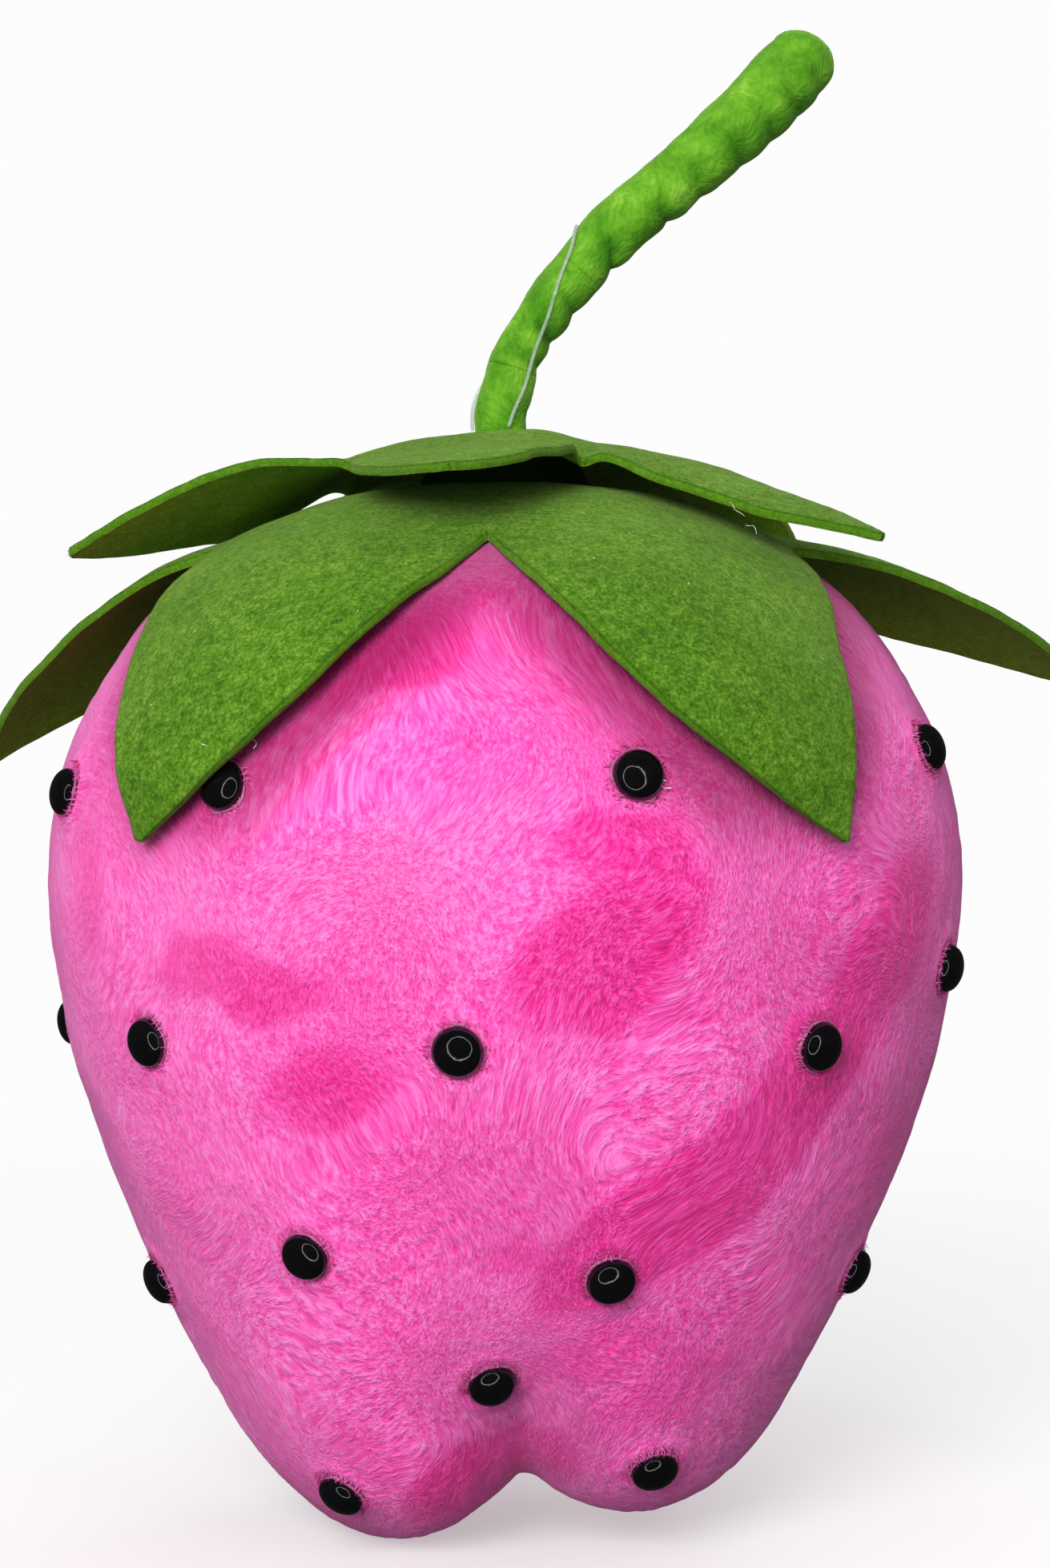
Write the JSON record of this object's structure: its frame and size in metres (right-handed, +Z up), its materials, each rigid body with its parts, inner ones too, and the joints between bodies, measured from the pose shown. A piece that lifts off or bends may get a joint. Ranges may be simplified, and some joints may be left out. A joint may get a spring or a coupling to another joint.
{
  "type": "strawberry pincushion",
  "caption": "Stuffed plush strawberry pincushion with glued half-round seed beads, a two-layer felt calyx and a bendable wired stem with a hanging loop.",
  "frame": {"origin": "the point of the resting plane under the fruit's axis", "axes": "+Z up along the fruit's axis, -Y towards its front; the stem leans to +X"},
  "size_m": [0.1554, 0.1238, 0.1976],
  "materials": {
    "pink_plush": "short-pile plush",
    "stuffing": "loose fibre filling",
    "thread": "polyester sewing thread",
    "green_felt": "pressed felt",
    "stem_plush": "short-pile plush tube",
    "wire": "plain soft wire",
    "clear_glue": "cured hot glue",
    "clear_strand": "clear nylon",
    "black_bead": "high-gloss black"
  },
  "bodies": {
    "fruit": {"front_body_panel": "pink_plush", "back_body_panel": "pink_plush", "filling_core": "stuffing", "left_side_seam_thread": "thread", "right_side_seam_thread": "thread", "top_gather_thread": "thread", "bottom_gather_thread": "thread", "dimple_tie_thread": "thread", "calyx_glue_pad": "clear_glue", "stem_glue_mound": "clear_glue", "lower_calyx_hub": "green_felt", "upper_calyx_hub": "green_felt", "stem_base_cover": "stem_plush", "stem_anchor_wire": "wire", "stem_glue_collar": "clear_glue", "front_seed_beads_upper": "black_bead", "front_seed_beads_middle": "black_bead", "front_seed_beads_lower": "black_bead", "front_seed_beads_bottom": "black_bead", "back_seed_beads_upper": "black_bead", "back_seed_beads_middle": "black_bead", "back_seed_beads_lower": "black_bead", "back_seed_beads_bottom": "black_bead", "front_seed_glue_dots": "clear_glue", "back_seed_glue_dots": "clear_glue"},
    "stem_lower": {"stem_lower_cover": "stem_plush", "stem_lower_wire": "wire", "hanging_loop_lower": "clear_strand"},
    "stem_middle": {"stem_middle_cover": "stem_plush", "stem_middle_wire": "wire", "hanging_loop_upper": "clear_strand"},
    "stem_tip": {"stem_tip_cover": "stem_plush", "stem_tip_wire": "wire"},
    "lower_leaf_left": {"lower_leaf_left": "green_felt"},
    "lower_leaf_front_left": {"lower_leaf_front_left": "green_felt"},
    "lower_leaf_front_right": {"lower_leaf_front_right": "green_felt"},
    "lower_leaf_right": {"lower_leaf_right": "green_felt"},
    "lower_leaf_back": {"lower_leaf_back": "green_felt"},
    "upper_leaf_back_left": {"upper_leaf_back_left": "green_felt"},
    "upper_leaf_left": {"upper_leaf_left": "green_felt"},
    "upper_leaf_front": {"upper_leaf_front": "green_felt"},
    "upper_leaf_right": {"upper_leaf_right": "green_felt"},
    "upper_leaf_back_right": {"upper_leaf_back_right": "green_felt"}
  },
  "joints": [
    {"name": "stem_side_bend", "type": "hinge", "parent": "fruit", "child": "stem_lower", "pos_m": [-0.00047, 0, 0.1474], "axis": [1, 0, 0], "range_deg": [-15, 15]},
    {"name": "stem_lower_bend", "type": "hinge", "parent": "stem_lower", "child": "stem_middle", "pos_m": [0.0045, 0, 0.159], "axis": [0, 1, 0], "range_deg": [-20, 25]},
    {"name": "stem_upper_bend", "type": "hinge", "parent": "stem_middle", "child": "stem_tip", "pos_m": [0.0156, 0, 0.1718], "axis": [0, 1, 0], "range_deg": [-35, 35]},
    {"name": "lower_leaf_left_lift", "type": "hinge", "parent": "fruit", "child": "lower_leaf_left", "pos_m": [-0.02921, 0.01104, 0.13186], "axis": [0.3535, 0.9354, 0], "range_deg": [-2, 10]},
    {"name": "lower_leaf_front_left_lift", "type": "hinge", "parent": "fruit", "child": "lower_leaf_front_left", "pos_m": [-0.01953, -0.02437, 0.13186], "axis": [-0.7804, 0.6252, 0], "range_deg": [0, 20]},
    {"name": "lower_leaf_front_right_lift", "type": "hinge", "parent": "fruit", "child": "lower_leaf_front_right", "pos_m": [0.01715, -0.0261, 0.13186], "axis": [-0.8358, -0.549, 0], "range_deg": [0, 20]},
    {"name": "lower_leaf_right_lift", "type": "hinge", "parent": "fruit", "child": "lower_leaf_right", "pos_m": [0.03012, 0.00824, 0.13186], "axis": [0.2639, -0.9646, 0], "range_deg": [-2, 10]},
    {"name": "lower_leaf_back_lift", "type": "hinge", "parent": "fruit", "child": "lower_leaf_back", "pos_m": [0.00147, 0.03119, 0.13186], "axis": [0.9989, -0.0471, 0], "range_deg": [0, 20]},
    {"name": "upper_leaf_back_left_lift", "type": "hinge", "parent": "fruit", "child": "upper_leaf_back_left", "pos_m": [-0.00765, 0.01787, 0.14128], "axis": [0.9196, 0.3907, 0.0418], "range_deg": [-4, 35]},
    {"name": "upper_leaf_left_lift", "type": "hinge", "parent": "fruit", "child": "upper_leaf_left", "pos_m": [-0.0194, -0.00169, 0.14074], "axis": [-0.0871, 0.9962, -0.004], "range_deg": [-4, 35]},
    {"name": "upper_leaf_front_lift", "type": "hinge", "parent": "fruit", "child": "upper_leaf_front", "pos_m": [-0.00444, -0.01892, 0.14142], "axis": [-0.9734, 0.225, -0.0442], "range_deg": [-4, 35]},
    {"name": "upper_leaf_right_lift", "type": "hinge", "parent": "fruit", "child": "upper_leaf_right", "pos_m": [0.01655, -0.01, 0.14237], "axis": [-0.5145, -0.8572, -0.0234], "range_deg": [-4, 35]},
    {"name": "upper_leaf_back_right_lift", "type": "hinge", "parent": "fruit", "child": "upper_leaf_back_right", "pos_m": [0.01457, 0.01274, 0.14228], "axis": [0.6554, -0.7547, 0.0298], "range_deg": [-4, 35]}
  ]
}
